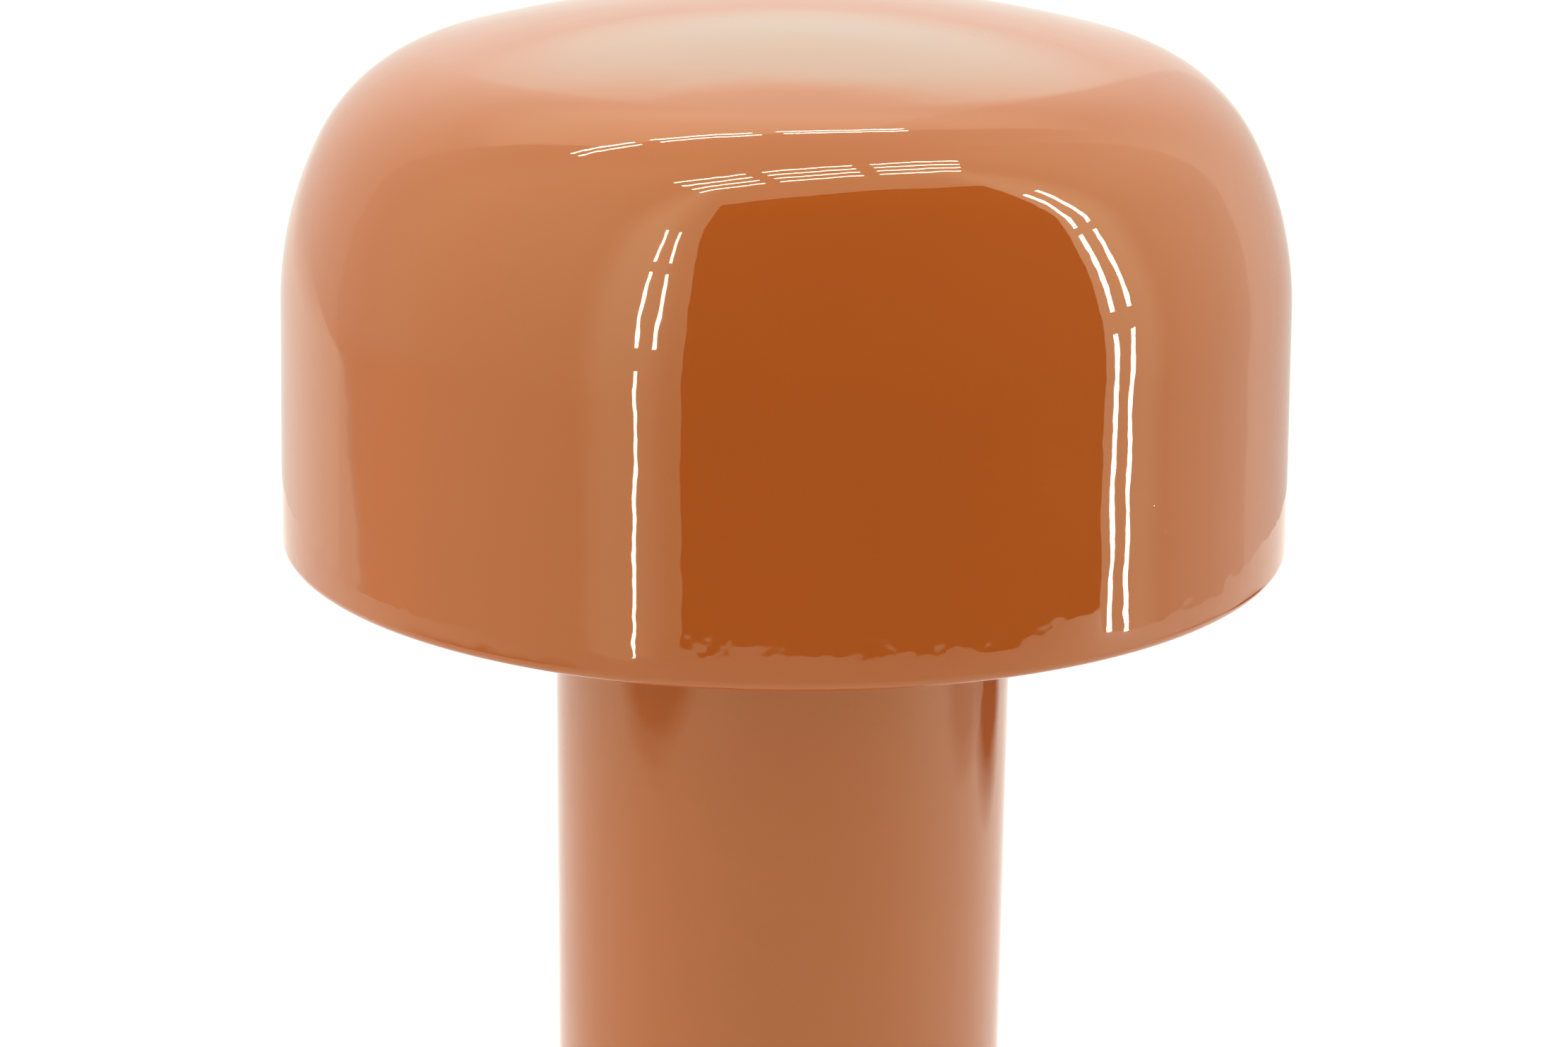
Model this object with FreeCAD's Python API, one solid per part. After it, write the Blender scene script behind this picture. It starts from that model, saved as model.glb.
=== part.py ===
import FreeCAD
import Part
import math
import os

# Portable table lamp with a lift-off dome shade, in millimetres, +Z up.
# The origin lies on the table below the lamp's axis. The push button faces -Y, the charging port +Y.

# Whole lamp
lamp_height = 210.0
shade_diameter = 125.0
stem_diameter = 57.4
foot_diameter = 88.0

# Shade skin, from the rim up: straight skirt, upper side, shoulder, crown. Turns are in degrees.
shade_wall = 2.4
skirt_height = 29.5
skirt_draft = 1.35
side_radius = 44.5
side_turn = 27.4
shoulder_radius = 21.6
shoulder_turn = 75.0

# Reflector inside the shade
liner_wall = 1.2
liner_gap = 0.2
liner_setback = 3.0

# Socket plate under the crown
hub_radius = 24.5
hub_plate = 2.5
hub_rim_wall = 1.9
hub_rim_height = 3.2
hub_socket_radius = 9.0
hub_socket_depth = 11.5
hub_screw_circle = 14.0
shade_boss_radius = 3.5

# Post that carries the shade
post_shank_radius = 4.0
post_collar_radius = 10.0
post_collar_height = 3.0
post_neck_radius = 7.0
post_spigot_radius = 5.0
post_chamfer = 1.0
ring_section = 1.0
ring_groove_width = 1.3
nut_across_flats = 13.0
nut_height = 4.0
washer_radius = 7.4
washer_height = 1.2

# Diffuser
diffuser_height = 27.0
diffuser_wall = 2.0
diffuser_round = 8.0
diffuser_reveal = 0.4
soft_washer_height = 0.8

# Light source
heat_sink_height = 3.0
thermal_pad_height = 0.3
led_board_height = 1.6
led_count = 12
led_size = 3.0
led_height = 0.7
led_spacing = 0.7
connector_size = 5.6
connector_height = 4.5
grommet_wall = 0.6

# Stem and foot
stem_wall = 2.4
stem_reveal = 6.8
stem_flange_width = 6.3
stem_flange_height = 2.0
foot_height = 11.0
foot_lift = 1.0
foot_top_round = 4.0
foot_bottom_round = 1.5
boss_radius = 3.25
heat_boss_depth = 8.0

# Underside
cover_height = 2.0
cover_screw_margin = 2.35
foot_ring_width = 4.0
foot_ring_height = 2.0
foot_ring_inset = 1.8

# Battery pack, its cage and the ballast
cell_radius = 9.15
cell_length = 65.0
link_height = 0.3
link_width = 10.0
pad_height = 1.0
cage_plate = 2.0
cage_rear_flat = 17.0
cage_screw_offset = 10.0
pillar_width = 3.2
pillar_depth = 12.0
shelf_space = 3.5
ballast_height = 10.0
ballast_space = 3.75

# Push button and switch
button_radius = 5.8
button_rise = 10.7
button_proud = 0.5
button_edge_round = 0.4
button_travel = 0.8
button_lip = 1.6
button_flange = 1.2
button_nub = 1.2
button_nub_radius = 2.0
guide_depth = 1.4
guide_lip = 1.4
plunger_radius = 1.75
plunger_reach = 1.3
plunger_tail = 0.8
switch_size = 6.0
switch_depth = 3.5
switch_board_size = 20.0

# Control board and charging port
board_thickness = 1.6
board_edge_gap = 2.1
board_ballast_gap = 1.0
port_width = 8.94
port_thickness = 3.26
port_sheet = 0.3
port_length = 7.35
port_tongue_width = 6.7
port_tongue_thickness = 0.7
port_tongue_setback = 1.0
chip_size = 5.0
chip_height = 1.0
coil_radius = 3.4
coil_height = 3.0
capacitor_radius = 1.6
capacitor_height = 2.6
light_pipe_radius = 1.0
light_pipe_offset = 9.0
light_pipe_tail = 3.0
indicator_width = 3.0
indicator_depth = 1.4
indicator_height = 2.7

# Wiring: how far a lead runs straight from its pad, and how far it drops below its terminal
wire_radius = 0.7
lead_rise = 4.5
lead_drop = 7.0

# Fits
screw_fit = 0.03
slide_fit = 0.05
seat_gap = 0.05
hole_clearance = 0.2
button_gap = 0.2
piece_gap = 0.3
head_margin = 0.5
tip_clearance = 0.8

# Screws: shank radius, head radius, head height
small_screw = (1.0, 1.9, 1.3)
middle_screw = (1.25, 2.25, 1.6)
large_screw = (1.5, 2.75, 2.2)

# Screw heads: cross slot and rounding as shares of the head's radius and height
slot_reach = 0.6
slot_width = 0.13
slot_depth = 0.6
head_rounding = 0.45

# Angles round the axis, in degrees from +X
hub_screw_angles = (90, 210, 330)
heat_screw_angles = (30, 150, 270)
led_screw_angles = (0, 120, 240)
cover_screw_angles = (45, 135, 225, 315)
control_screw_angles = (20, 160, 290)
capacitor_angles = (205, 245, 262, 345)
chip_angle = 180
coil_angle = 0
full_turn = 360
half_turn = 180
quarter_turn = 90


def vec(x, y, z):
    return FreeCAD.Vector(x, y, z)


axis_x = vec(1, 0, 0)
axis_y = vec(0, 1, 0)
axis_z = vec(0, 0, 1)
origin = vec(0, 0, 0)
both_sides = (-1, 1)
right_angle = math.pi / 2

# Shade skin: centres of its arcs, heights above the rim
shade_radius = shade_diameter / 2
draft = math.radians(skirt_draft)
side_angle = math.radians(side_turn)
shoulder_angle = math.radians(shoulder_turn)
rim_round = shade_wall / 2
skirt_foot_height = rim_round * (math.cos(draft) + math.sin(draft))
side_centre_r = shade_radius - skirt_height * math.tan(draft) - side_radius * math.cos(draft)
side_centre_z = skirt_foot_height + skirt_height - side_radius * math.sin(draft)
shoulder_step = side_radius - shoulder_radius
shoulder_centre_r = side_centre_r + shoulder_step * math.cos(side_angle)
shoulder_centre_z = side_centre_z + shoulder_step * math.sin(side_angle)
crown_radius = shoulder_radius + shoulder_centre_r / math.cos(shoulder_angle)
crown_centre_z = shoulder_centre_z - (crown_radius - shoulder_radius) * math.sin(shoulder_angle)
shade_height = crown_centre_z + crown_radius
rim_height = lamp_height - shade_height
liner_outside = shade_wall + liner_gap
liner_inside = liner_outside + liner_wall


def crown_height(radius, depth):
    """Height of the crown, that far inside the outer skin, at a distance from the axis."""
    return rim_height + crown_centre_z + math.sqrt((crown_radius - depth) ** 2 - radius ** 2)


# Hub, from its rim down to its seat on the post
hub_rim_top = crown_height(hub_radius, liner_inside) - seat_gap
hub_top = hub_rim_top - hub_rim_height
hub_bottom = hub_top - hub_plate
hub_seat = hub_bottom - hub_socket_depth
hub_bore_top = hub_bottom + hub_plate / 2
hub_bore_radius = post_spigot_radius + slide_fit
hub_rim_inside = hub_radius - hub_rim_wall
liner_opening = hub_rim_inside - piece_gap
shade_boss_top = crown_height(hub_screw_circle, shade_wall)

# Stem, foot and underside
stem_radius = stem_diameter / 2
foot_radius = foot_diameter / 2
cavity_radius = stem_radius - stem_wall
foot_inner_radius = foot_radius - stem_wall
foot_top = foot_lift + foot_height
foot_ceiling = foot_top - stem_wall
foot_round_height = foot_top - foot_top_round
flare_centre_r = foot_radius - foot_top_round
flare_radius = flare_centre_r - stem_radius
flare_top = foot_top + flare_radius
cover_top = foot_lift + cover_height
cover_radius = foot_inner_radius - hole_clearance
foot_ring_outer = cover_radius - foot_ring_inset
foot_ring_inner = foot_ring_outer - foot_ring_width
cover_screw_circle = foot_ring_inner - middle_screw[1] - cover_screw_margin

# Light head
stem_top = rim_height + stem_reveal
flange_top = stem_top - heat_sink_height
flange_bottom = flange_top - stem_flange_height
flange_radius = cavity_radius - stem_flange_width
heat_boss_bottom = flange_bottom - heat_boss_depth
heat_sink_radius = cavity_radius - hole_clearance
heat_screw_circle = cavity_radius - middle_screw[1] - head_margin
led_board_radius = heat_screw_circle - middle_screw[1] - piece_gap
led_board_bottom = stem_top + thermal_pad_height
led_board_top = led_board_bottom + led_board_height
led_screw_circle = led_board_radius - small_screw[1] - piece_gap
wire_side = 1.5 * wire_radius
wire_hole_radius = wire_side + wire_radius + 1.25 * hole_clearance
grommet_hole_radius = wire_hole_radius + grommet_wall
grommet_lip_radius = grommet_hole_radius + grommet_wall
wire_hole_offset = washer_radius + grommet_lip_radius + 2 * piece_gap
led_circle = wire_hole_offset + (connector_size + led_size) / 2 + led_spacing
diffuser_radius = stem_radius - diffuser_reveal
diffuser_inner_radius = diffuser_radius - diffuser_wall
diffuser_top = stem_top + diffuser_height
collar_bottom = diffuser_top + soft_washer_height
collar_top = collar_bottom + post_collar_height
shank_hole_radius = post_shank_radius + hole_clearance
washer_bottom = flange_top - washer_height
nut_bottom = washer_bottom - nut_height
spigot_top = hub_bore_top - tip_clearance
ring_height = (hub_seat + spigot_top) / 2
groove_radius = post_spigot_radius - ring_section
ring_radius = groove_radius + ring_section / 2 + slide_fit / 2

# Push button and switch, distances in front of the axis
button_height = flare_top + button_rise
button_hole_radius = button_radius + button_gap
button_flange_radius = button_radius + button_lip
button_front = stem_radius + button_proud
guide_seat = cavity_radius - guide_depth
button_back = guide_seat - button_flange
plunger_tip = button_back - button_nub
switch_front = plunger_tip - plunger_reach
plunger_back = switch_front - plunger_tail
switch_bore_back = plunger_back - button_travel - piece_gap
switch_board_front = switch_front - switch_depth
switch_board_back = switch_board_front - board_thickness
bracket_back = switch_board_back - cage_plate
switch_board_bottom = button_height - switch_board_size / 2
switch_board_top = button_height + switch_board_size / 2

# Battery cage on its ballast
ballast_radius = cover_screw_circle - boss_radius - ballast_space
ballast_top = cover_top + ballast_height
cage_radius = cavity_radius - piece_gap
cage_floor_top = ballast_top + cage_plate
cage_boss_top = ballast_top + ballast_height
cell_offset = cell_radius + piece_gap / 2
shelf_bottom = switch_board_top + shelf_space
shelf_top = shelf_bottom + cage_plate
cell_bottom = shelf_top + link_height
cell_top = cell_bottom + cell_length
pad_bottom = cell_top + link_height
lid_bottom = pad_bottom + pad_height
cage_top = lid_bottom + cage_plate
pillar_inner = cell_offset + cell_radius + piece_gap
pillar_outer = pillar_inner + pillar_width
cage_screw_seat = cover_top + large_screw[2] + piece_gap

# Control board, upside down over the port
port_height = (foot_lift + foot_bottom_round + foot_round_height) / 2
board_bottom = port_height + port_thickness / 2
board_top = board_bottom + board_thickness
board_inner = ballast_radius + board_ballast_gap
board_outer = foot_inner_radius - board_edge_gap
board_middle = (board_inner + board_outer) / 2
port_front = math.sqrt(foot_radius ** 2 - (port_width / 2) ** 2) - seat_gap
port_back = port_front - port_length
port_block_front = port_back + port_length / 3
pipe_front = math.sqrt(foot_radius ** 2 - (light_pipe_offset + light_pipe_radius) ** 2)
pipe_back = math.sqrt(foot_inner_radius ** 2 - light_pipe_offset ** 2) - light_pipe_tail
indicator_front = pipe_back - seat_gap

# Wiring: distance of the board's pads from the axis, and of the wires that climb behind the battery
pad_distance = board_inner + 5 * wire_radius
wall_run = (cage_rear_flat + cavity_radius) / 2
lead_corner = board_top + lead_rise
lead_bend = flare_top + stem_wall


# Shapes used again and again

def around(radius, angle, height=0.0):
    """Point at a distance from the axis, an angle in degrees from +X, and a height."""
    turn = math.radians(angle)
    return vec(radius * math.cos(turn), radius * math.sin(turn), height)


def ring_of(radius, angles, height=0.0):
    return [around(radius, angle, height) for angle in angles]


def disc(radius, bottom, top, centre=origin):
    return Part.makeCylinder(radius, top - bottom, vec(centre.x, centre.y, bottom), axis_z)


def discs(radius, bottom, top, centres):
    return [disc(radius, bottom, top, centre) for centre in centres]


def ring(outer, inner, bottom, top):
    return disc(outer, bottom, top).cut(disc(inner, bottom, top))


def bar(radius, start, end, height, x=0.0):
    """Round bar along Y."""
    return Part.makeCylinder(radius, end - start, vec(x, start, height), axis_y)


def block(x0, x1, y0, y1, z0, z1):
    return Part.makeBox(x1 - x0, y1 - y0, z1 - z0, vec(x0, y0, z0))


def line(start, end):
    return Part.LineSegment(start, end).toShape()


def on_circle(centre, radius, angle):
    """Point of a circle drawn in the XZ plane, angle in radians from +X towards +Z."""
    return centre + vec(radius * math.cos(angle), 0, radius * math.sin(angle))


def bow(centre, radius, start, end):
    """Arc of a circle drawn in the XZ plane."""
    angles = (start, (start + end) / 2, end)
    return Part.Arc(*[on_circle(centre, radius, angle) for angle in angles]).toShape()


def turned(edges):
    """Solid turned about the axis from a closed outline in the XZ plane."""
    return Part.Face(Part.Wire(edges)).revolve(origin, axis_z, full_turn)


def path(points):
    """Straight edges through points given as distance from the axis and height."""
    corners = [vec(r, 0, z) for r, z in points]
    return [line(start, end) for start, end in zip(corners, corners[1:])]


def lathe(points):
    return turned(path(points + points[:1]))


def cross_slot(screw):
    """Cross slot of a screw head whose top lies at z = 0."""
    head, height = screw[1:]
    reach = head * slot_reach
    width = head * slot_width
    depth = height * slot_depth
    arm = block(-reach, reach, -width, width, -depth, depth)
    return arm.fuse(block(-width, width, -reach, reach, -depth, depth))


def pan_screw(screw, length):
    """Screw whose head sits on z = 0 and whose shank points down."""
    shank, head, height = screw
    body = disc(head, 0, height)
    rim = [edge for edge in body.Edges if edge.CenterOfMass.z > height / 2 and edge.isClosed()]
    body = body.makeFillet(height * head_rounding, rim)
    body = body.fuse(disc(shank - screw_fit, -length, 0)).removeSplitter()
    slot = cross_slot(screw)
    slot.translate(vec(0, 0, height))
    return body.cut(slot)


def sunk_screw(screw, length):
    """Countersunk screw whose flat head lies at z = 0 and whose shank points down."""
    shank, head, height = screw
    thread = shank - screw_fit
    body = lathe([(0, 0), (head, 0), (thread, -height), (thread, -length), (0, -length)])
    return body.cut(cross_slot(screw))


def placed(shape, position, turn_axis=axis_x, turn=0):
    copy = shape.copy()
    copy.rotate(origin, turn_axis, turn)
    copy.translate(position)
    return copy


def copies(shape, positions, turn_axis=axis_x, turn=0):
    """One node of equal solids that stand apart."""
    return Part.makeCompound([placed(shape, position, turn_axis, turn) for position in positions])


def wire(points):
    """Round wire along straight runs joined by tangent arcs."""
    edges = []
    start = points[0]
    for before, corner, after in zip(points, points[1:], points[2:]):
        back = (before - corner).normalize()
        ahead = (after - corner).normalize()
        half = back.getAngle(ahead) / 2
        shorter = min(before.distanceToPoint(corner), after.distanceToPoint(corner))
        trim = 0.45 * shorter
        inward = (back + ahead).normalize() * (trim / math.cos(half) - trim * math.tan(half))
        edges.append(line(start, corner + back * trim))
        edges.append(Part.Arc(corner + back * trim, corner + inward, corner + ahead * trim).toShape())
        start = corner + ahead * trim
    edges.append(line(start, points[-1]))
    section = Part.Wire(Part.makeCircle(wire_radius, points[0], points[1] - points[0]))
    return Part.Wire(edges).makePipeShell([section], True, True)


# Shade

def skirt_foot(depth):
    sideways = depth * math.cos(draft)
    down = depth * math.sin(draft)
    return vec(shade_radius - sideways, 0, rim_height + skirt_foot_height - down)


def shade_skin(depth):
    """Edges of the skin that far inside the outer one, from the skirt's foot to the crown's middle."""
    side = vec(side_centre_r, 0, rim_height + side_centre_z)
    shoulder = vec(shoulder_centre_r, 0, rim_height + shoulder_centre_z)
    crown = vec(0, 0, rim_height + crown_centre_z)
    return [
        line(skirt_foot(depth), on_circle(side, side_radius - depth, draft)),
        bow(side, side_radius - depth, draft, side_angle),
        bow(shoulder, shoulder_radius - depth, side_angle, shoulder_angle),
        bow(crown, crown_radius - depth, shoulder_angle, right_angle),
    ]


def dome(outside, inside, edge):
    """Shell between two depths inside the outer skin, closed at its foot by the edge given."""
    middle = path([(0, crown_height(0, outside)), (0, crown_height(0, inside))])
    return turned(shade_skin(outside) + middle + shade_skin(inside)[::-1] + [edge])


def shade_shell():
    middle = (skirt_foot(0) + skirt_foot(shade_wall)) * 0.5
    lowest = middle + vec(math.sin(draft), 0, -math.cos(draft)) * rim_round
    rim = Part.Arc(skirt_foot(0), lowest, skirt_foot(shade_wall)).toShape()
    spots = ring_of(hub_screw_circle, hub_screw_angles)
    bosses = discs(shade_boss_radius, hub_top, shade_boss_top + shade_wall / 2, spots)
    pilots = discs(middle_screw[0], hub_top, shade_boss_top, spots)
    return dome(0, shade_wall, rim).fuse(bosses).cut(pilots).removeSplitter()


def shade_liner():
    edge = line(skirt_foot(liner_inside), skirt_foot(liner_outside))
    below = disc(shade_radius, rim_height - liner_setback, rim_height + liner_setback)
    opening = disc(liner_opening, hub_top, lamp_height)
    return dome(liner_outside, liner_inside, edge).cut([below, opening])


def shade_hub():
    hub = lathe([
        (hub_bore_radius, hub_seat),
        (hub_socket_radius, hub_seat),
        (hub_socket_radius, hub_bottom),
        (hub_radius, hub_bottom),
        (hub_radius, hub_rim_top),
        (hub_rim_inside, hub_rim_top),
        (hub_rim_inside, hub_top),
        (0, hub_top),
        (0, hub_bore_top),
        (hub_bore_radius, hub_bore_top),
    ])
    spots = ring_of(hub_screw_circle, hub_screw_angles)
    return hub.cut(discs(middle_screw[0] + hole_clearance, hub_bottom, hub_top, spots))


def hub_screws():
    screw = pan_screw(middle_screw, shade_boss_top - tip_clearance - hub_bottom)
    return copies(screw, ring_of(hub_screw_circle, hub_screw_angles, hub_bottom), axis_x, half_turn)


# Light head

def shade_post():
    return lathe([
        (0, nut_bottom - post_chamfer),
        (post_shank_radius - post_chamfer, nut_bottom - post_chamfer),
        (post_shank_radius, nut_bottom),
        (post_shank_radius, collar_bottom),
        (post_collar_radius, collar_bottom),
        (post_collar_radius, collar_top - post_chamfer),
        (post_collar_radius - post_chamfer, collar_top),
        (post_neck_radius, collar_top),
        (post_neck_radius, hub_seat),
        (post_spigot_radius, hub_seat),
        (post_spigot_radius, ring_height - ring_groove_width / 2),
        (groove_radius, ring_height - ring_groove_width / 2),
        (groove_radius, ring_height + ring_groove_width / 2),
        (post_spigot_radius, ring_height + ring_groove_width / 2),
        (post_spigot_radius, spigot_top - post_chamfer),
        (post_spigot_radius - post_chamfer, spigot_top),
        (0, spigot_top),
    ])


def post_o_ring():
    return Part.makeTorus(ring_radius, ring_section / 2, vec(0, 0, ring_height), axis_z)


def post_washer():
    return ring(washer_radius, shank_hole_radius, washer_bottom, flange_top)


def post_nut():
    corner = nut_across_flats / math.sqrt(3)
    corners = [around(corner, angle, nut_bottom) for angle in range(0, full_turn, 60)]
    body = Part.Face(Part.makePolygon(corners + corners[:1])).extrude(vec(0, 0, nut_height))
    return body.cut(disc(post_shank_radius + screw_fit, nut_bottom, washer_bottom))


def diffuser():
    corner_r = diffuser_radius - diffuser_round
    corner_z = diffuser_top - diffuser_round
    corner = vec(corner_r, 0, corner_z)
    inner_top = diffuser_top - diffuser_wall
    hole = shank_hole_radius
    foot = path([(diffuser_inner_radius, stem_top), (diffuser_radius, stem_top)])
    outside = path([(diffuser_radius, stem_top), (diffuser_radius, corner_z)])
    top = path([(corner_r, diffuser_top), (hole, diffuser_top), (hole, inner_top), (corner_r, inner_top)])
    inside = path([(diffuser_inner_radius, corner_z), (diffuser_inner_radius, stem_top)])
    outer_round = bow(corner, diffuser_round, 0, right_angle)
    inner_round = bow(corner, diffuser_round - diffuser_wall, right_angle, 0)
    return turned(foot + outside + [outer_round] + top + [inner_round] + inside)


def diffuser_washer():
    return ring(post_collar_radius, shank_hole_radius, diffuser_top, collar_bottom)


def wire_hole(radius, bottom, top):
    return disc(radius, bottom, top, vec(0, wire_hole_offset, 0))


def heat_sink():
    heat_spots = ring_of(heat_screw_circle, heat_screw_angles)
    led_spots = ring_of(led_screw_circle, led_screw_angles)
    holes = discs(middle_screw[0] + hole_clearance, flange_top, stem_top, heat_spots)
    holes += discs(small_screw[0], flange_top, stem_top, led_spots)
    holes += [wire_hole(grommet_hole_radius, flange_top, stem_top)]
    return ring(heat_sink_radius, shank_hole_radius, flange_top, stem_top).cut(holes)


def wire_grommet():
    lip_bottom = flange_top - grommet_wall
    sleeve = wire_hole(grommet_hole_radius - seat_gap, flange_top, stem_top)
    lip = wire_hole(grommet_lip_radius, lip_bottom, flange_top)
    return sleeve.fuse(lip).removeSplitter().cut(wire_hole(wire_hole_radius, lip_bottom, stem_top))


def heat_sink_screws():
    screw = pan_screw(middle_screw, heat_boss_depth)
    return copies(screw, ring_of(heat_screw_circle, heat_screw_angles, stem_top))


def light_layer(bottom, top):
    """Round layer of the light source, with its holes for post, wires and screws."""
    spots = ring_of(led_screw_circle, led_screw_angles)
    holes = discs(small_screw[0] + hole_clearance, bottom, top, spots)
    holes += [wire_hole(wire_hole_radius, bottom, top)]
    return ring(led_board_radius, shank_hole_radius + head_margin, bottom, top).cut(holes)


def thermal_pad():
    return light_layer(stem_top, led_board_bottom)


def led_board():
    return light_layer(led_board_bottom, led_board_top)


def led_chips():
    half = led_size / 2
    top = led_board_top + led_height
    chip = block(led_circle - half, led_circle + half, -half, half, led_board_top, top)
    step = full_turn / led_count
    turns = [step * (number + 0.5) for number in range(led_count)]
    return Part.makeCompound([placed(chip, origin, axis_z, turn) for turn in turns])


def led_board_screws():
    screw = pan_screw(small_screw, led_board_top - flange_top - hole_clearance)
    return copies(screw, ring_of(led_screw_circle, led_screw_angles, led_board_top))


def led_connector():
    half = connector_size / 2
    top = led_board_top + connector_height
    return block(-half, half, wire_hole_offset - half, wire_hole_offset + half, led_board_top, top)


# Stem and foot

def stem_outside():
    edge_r = foot_radius - foot_bottom_round
    edge_z = foot_lift + foot_bottom_round
    return turned(
        path([(0, foot_lift), (edge_r, foot_lift)])
        + [bow(vec(edge_r, 0, edge_z), foot_bottom_round, -right_angle, 0)]
        + path([(foot_radius, edge_z), (foot_radius, foot_round_height)])
        + [bow(vec(flare_centre_r, 0, foot_round_height), foot_top_round, 0, right_angle)]
        + [bow(vec(flare_centre_r, 0, flare_top), flare_radius, -right_angle, -math.pi)]
        + path([(stem_radius, flare_top), (stem_radius, stem_top), (0, stem_top), (0, foot_lift)])
    )


def stem_cavity():
    inner_round = foot_top_round - stem_wall
    inner_flare = flare_radius + stem_wall
    return turned(
        path([(0, foot_lift), (foot_inner_radius, foot_lift), (foot_inner_radius, foot_round_height)])
        + [bow(vec(flare_centre_r, 0, foot_round_height), inner_round, 0, right_angle)]
        + [bow(vec(flare_centre_r, 0, flare_top), inner_flare, -right_angle, -math.pi)]
        + path([(cavity_radius, flare_top), (cavity_radius, flange_bottom)])
        + path([(cavity_radius, flange_bottom), (0, flange_bottom), (0, foot_lift)])
    )


def port_bar(grow, back, front):
    """Bar along Y with the charging port's rounded outline, larger all round by grow."""
    half = port_thickness / 2 + grow
    side = (port_width - port_thickness) / 2
    middle = block(-side, side, back, front, port_height - half, port_height + half)
    return middle.fuse([bar(half, back, front, port_height, x) for x in (-side, side)]).removeSplitter()


def stem_bosses():
    guide_radius = button_flange_radius + guide_lip
    heat_spots = ring_of(heat_screw_circle, heat_screw_angles)
    bosses = discs(boss_radius, heat_boss_bottom, flange_bottom, heat_spots)
    bosses += discs(boss_radius, cover_top, flare_top, ring_of(cover_screw_circle, cover_screw_angles))
    bosses += discs(boss_radius, board_top, flare_top, ring_of(board_middle, control_screw_angles))
    return bosses + [bar(guide_radius, -stem_radius, -guide_seat, button_height)]


def stem_holes():
    thread = middle_screw[0]
    holes = discs(thread, heat_boss_bottom, flange_top, ring_of(heat_screw_circle, heat_screw_angles))
    holes += discs(thread, cover_top, foot_ceiling, ring_of(cover_screw_circle, cover_screw_angles))
    board_spots = ring_of(board_middle, control_screw_angles)
    holes += discs(small_screw[0], board_top, board_top + stem_wall, board_spots)
    holes += [bar(button_hole_radius, -stem_radius, -guide_seat, button_height)]
    holes += [bar(light_pipe_radius, pipe_back, foot_radius, port_height, light_pipe_offset)]
    return holes + [port_bar(hole_clearance, port_back, foot_radius)]


def stem_shell():
    outside = stem_outside()
    recess = disc(cavity_radius, flange_top, stem_top)
    shell = outside.cut([stem_cavity(), recess, disc(flange_radius, flange_bottom, flange_top)])
    shell = shell.fuse([boss.common(outside) for boss in stem_bosses()]).removeSplitter()
    return shell.cut(stem_holes())


# Push button and switch

def push_button():
    cap = bar(button_radius, -button_front, -guide_seat, button_height)
    rim = [edge for edge in cap.Edges if edge.CenterOfMass.y < -stem_radius and edge.isClosed()]
    cap = cap.makeFillet(button_edge_round, rim)
    flange = bar(button_flange_radius, -guide_seat, -button_back, button_height)
    nub = bar(button_nub_radius, -button_back, -plunger_tip, button_height)
    return cap.fuse([flange, nub]).removeSplitter()


def switch_plunger():
    return bar(plunger_radius, -plunger_tip, -plunger_back, button_height)


def switch_body():
    half = switch_size / 2
    low = button_height - half
    body = block(-half, half, -switch_front, -switch_board_front, low, low + switch_size)
    return body.cut(bar(plunger_radius + hole_clearance, -switch_front, -switch_bore_back, button_height))


def switch_screw_spots():
    reach = switch_board_size / 2 - small_screw[1] - piece_gap
    return [(side * reach, button_height - side * reach) for side in both_sides]


def switch_board():
    half = switch_board_size / 2
    front = -switch_board_front
    back = -switch_board_back
    hole = small_screw[0] + hole_clearance
    board = block(-half, half, front, back, switch_board_bottom, switch_board_top)
    return board.cut([bar(hole, front, back, z, x) for x, z in switch_screw_spots()])


def switch_board_screws():
    screw = pan_screw(small_screw, board_thickness + cage_plate)
    spots = [vec(x, -switch_board_front, z) for x, z in switch_screw_spots()]
    return copies(screw, spots, axis_x, quarter_turn)


# Battery pack and ballast

def trimmed_plate(bottom, top):
    """Round plate of the cage, cut straight in front for the switch and behind for the wires."""
    room = block(-cage_radius, cage_radius, -switch_board_back, cage_rear_flat, bottom, top)
    return disc(cage_radius, bottom, top).common(room)


def lead_spots():
    return [vec(side * cell_offset / 2, cell_radius / 3, 0) for side in both_sides]


def cage_screw_spots(height=0.0):
    return [vec(side * cage_screw_offset, 0, height) for side in both_sides]


def battery_cage():
    depth = pillar_depth / 2
    width = switch_board_size / 2
    pillar = block(pillar_inner, pillar_outer, -depth, depth, ballast_top, cage_top)
    pieces = [
        trimmed_plate(shelf_bottom, shelf_top),
        block(-pillar_outer, pillar_outer, -depth, depth, lid_bottom, cage_top),
        block(-width, width, -switch_board_back, -bracket_back, ballast_top, shelf_top),
        pillar,
        placed(pillar, origin, axis_z, half_turn),
    ]
    pieces += discs(2 * large_screw[0], ballast_top, cage_boss_top, cage_screw_spots())
    cage = trimmed_plate(ballast_top, cage_floor_top).fuse(pieces).removeSplitter()
    holes = discs(wire_radius + hole_clearance, shelf_bottom, shelf_top, lead_spots())
    holes += discs(large_screw[0], ballast_top, cage_boss_top, cage_screw_spots())
    holes += [bar(small_screw[0], -switch_board_back, -bracket_back, z, x) for x, z in switch_screw_spots()]
    return cage.cut(holes)


def battery_cells():
    cell = disc(cell_radius, cell_bottom, cell_top)
    return copies(cell, [vec(side * cell_offset, 0, 0) for side in both_sides])


def cell_links():
    half = link_width / 2
    reach = cell_offset + half
    tab = block(cell_offset - half, reach, -half, half, shelf_top, cell_bottom)
    bridge = block(-reach, reach, -half, half, cell_top, pad_bottom)
    return Part.makeCompound([tab, placed(tab, origin, axis_z, half_turn), bridge])


def cell_pad():
    half = link_width / 2
    reach = cell_offset + half
    return block(-reach, reach, -half, half, pad_bottom, lid_bottom)


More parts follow.
